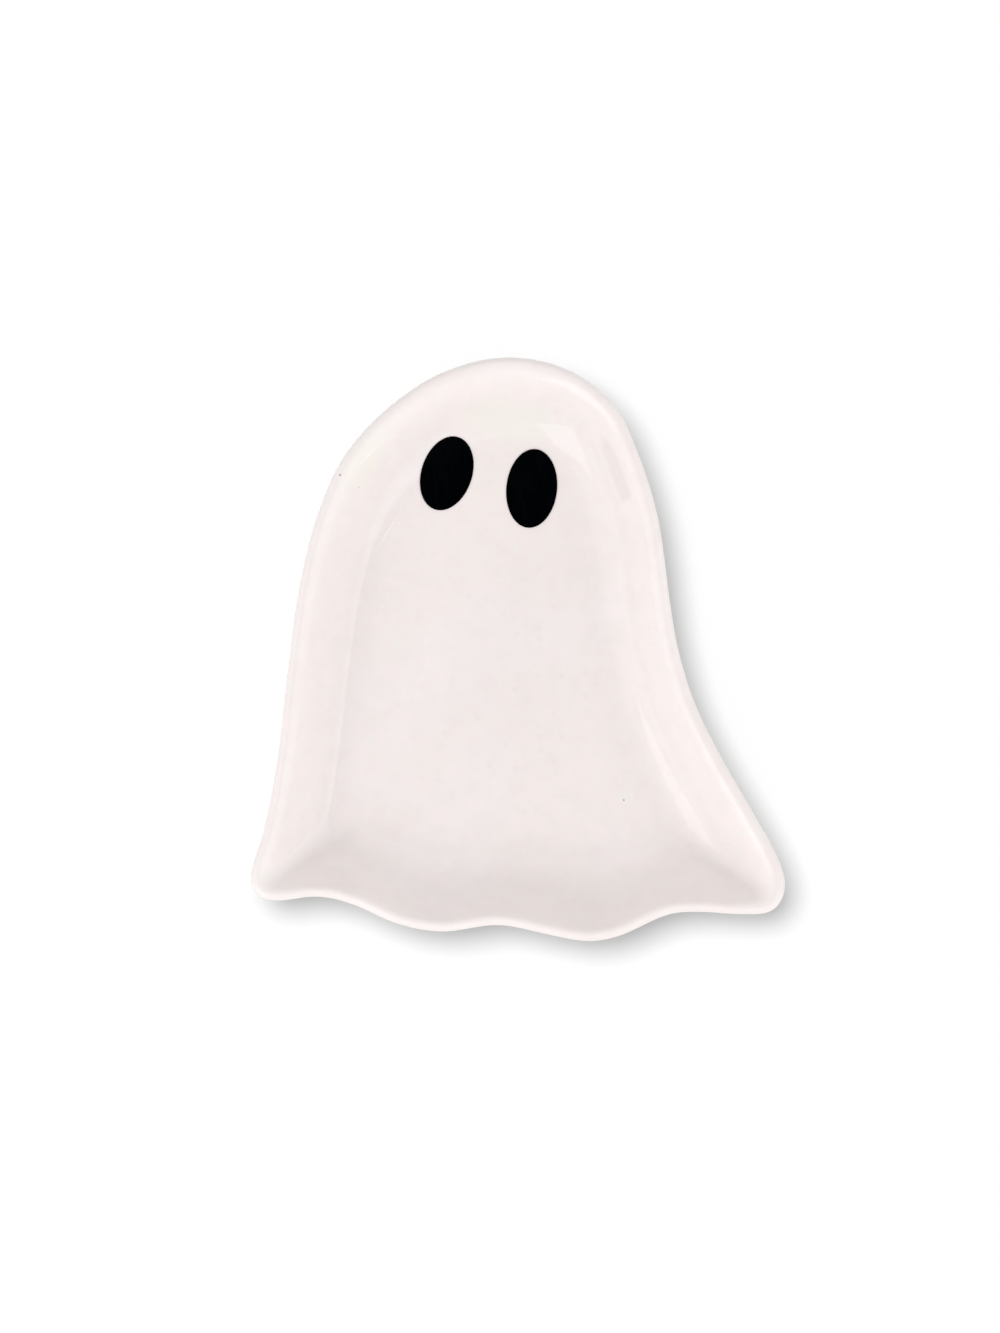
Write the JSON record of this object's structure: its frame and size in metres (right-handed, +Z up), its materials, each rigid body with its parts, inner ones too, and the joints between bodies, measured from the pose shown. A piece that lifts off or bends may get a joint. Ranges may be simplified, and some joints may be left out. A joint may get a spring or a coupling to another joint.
{
  "type": "ghost-shaped trinket dish",
  "caption": "Shallow ghost-shaped ceramic trinket dish with a rounded rim, scalloped hem, two black oval eyes and a bare foot ring.",
  "frame": {"origin": "on the table under the middle of the dish's outline", "axes": "+Z up out of the well, +Y towards the ghost's crown, +X towards the longer tail, which is on the right seen from above"},
  "size_m": [0.1164, 0.127, 0.018],
  "materials": {
    "bisque_clay": "bare fired clay, matte",
    "white_glaze": "warm white gloss glaze",
    "black_enamel": "black enamel, low sheen"
  },
  "bodies": {
    "root": {"stoneware_body": "bisque_clay", "foot_ring": "bisque_clay", "glaze_coat": "white_glaze", "base_glaze": "white_glaze", "left_eye": "black_enamel", "right_eye": "black_enamel"}
  },
  "joints": []
}
